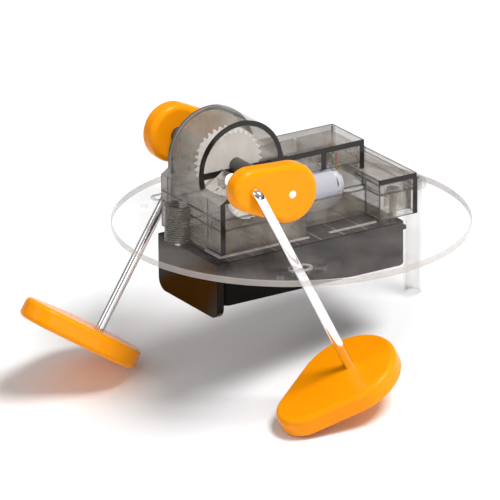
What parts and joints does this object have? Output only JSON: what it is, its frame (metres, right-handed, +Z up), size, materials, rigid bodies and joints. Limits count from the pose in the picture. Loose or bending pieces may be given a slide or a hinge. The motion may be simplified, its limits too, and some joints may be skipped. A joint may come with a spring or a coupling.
{
  "type": "solar robot kit",
  "caption": "Two-legged solar walking robot: a geared motor in a smoke-clear housing on a clear round deck swings two bent leg rods with flat feet; a clear tube is the tail.",
  "frame": {"origin": "centre of the bounding box at floor level, the robot standing on its two feet and its tail tube", "axes": "+Z up from the floor, +X along the robot towards its tail, +Y across it towards the far leg; the deck leans back by about 12.3 degrees about Y"},
  "size_m": [0.168, 0.144, 0.1095],
  "materials": {
    "clear": "polished, see-through",
    "smoke": "polished, see-through grey",
    "orange": "glossy",
    "chrome": "polished",
    "steel": "satin",
    "white": "satin",
    "label": "semi-gloss",
    "black": "glossy",
    "cell": "glossy",
    "brass": "satin",
    "red_lead": "semi-gloss",
    "green_lead": "semi-gloss",
    "grey": "satin"
  },
  "bodies": {
    "body": {"base_disc": "clear", "tail_tube": "clear", "gear_case": "smoke", "gear_cover": "smoke", "end_lid": "smoke", "case_screws": "steel", "motor_can": "steel", "motor_label": "label", "motor_end_cap": "grey", "motor_terminals": "brass", "compound_spindle": "steel", "crown_spindle": "steel", "module_casing": "black", "module_lid": "black", "module_end_plate": "cell", "solar_cell": "cell", "lead_red": "red_lead", "lead_black": "green_lead"},
    "drive": {"output_gear": "white", "output_axle": "chrome", "axle_sleeve_near": "black", "axle_sleeve_far": "black", "crank_near": "orange", "crank_far": "orange"},
    "compound": {"compound_gear": "white"},
    "crown": {"crown_gear": "white"},
    "rotor": {"motor_shaft": "steel", "motor_pinion": "brass"},
    "leg_near": {"leg_rod_near": "chrome", "rod_cap_near": "white", "foot_near": "orange"},
    "leg_far": {"leg_rod_far": "chrome", "rod_cap_far": "white", "foot_far": "orange"}
  },
  "joints": [
    {"name": "axle_turn", "type": "hinge", "parent": "body", "child": "drive", "pos_m": [-0.00792, 0.0009, 0.09088], "axis": [-0.0123, 0.9982, -0.0585], "range_deg": [-15, 15]},
    {"name": "compound_turn", "type": "hinge", "parent": "body", "child": "compound", "pos_m": [0.00267, 0.00332, 0.07876], "axis": [-0.0123, 0.9982, -0.0585], "range_deg": [-62.2, 62.2]},
    {"name": "crown_turn", "type": "hinge", "parent": "body", "child": "crown", "pos_m": [-0.00126, 0.00276, 0.07002], "axis": [-0.0123, 0.9982, -0.0585], "range_deg": [-123.4, 123.4]},
    {"name": "rotor_turn", "type": "hinge", "parent": "body", "child": "rotor", "pos_m": [0.00327, 0.00017, 0.06922], "axis": [0.9786, 0, -0.2056], "range_deg": [-307, 307]},
    {"name": "leg_near_turn", "type": "hinge", "parent": "drive", "child": "leg_near", "pos_m": [-0.02317, -0.04666, 0.10135], "axis": [-0.0123, 0.9982, -0.0585], "range_deg": [-11.69, 11.69]},
    {"name": "leg_far_turn", "type": "hinge", "parent": "drive", "child": "leg_far", "pos_m": [0.00733, 0.04846, 0.08041], "axis": [-0.0123, 0.9982, -0.0585], "range_deg": [-13.58, 13.58]}
  ],
  "couplings": [
    {"joint": "compound_turn", "follows": "axle_turn", "ratio": -4},
    {"joint": "crown_turn", "follows": "axle_turn", "ratio": 8},
    {"joint": "rotor_turn", "follows": "axle_turn", "ratio": -20},
    {"joint": "leg_near_turn", "follows": "axle_turn", "ratio": -0.69863},
    {"joint": "leg_far_turn", "follows": "axle_turn", "ratio": -0.82209}
  ]
}
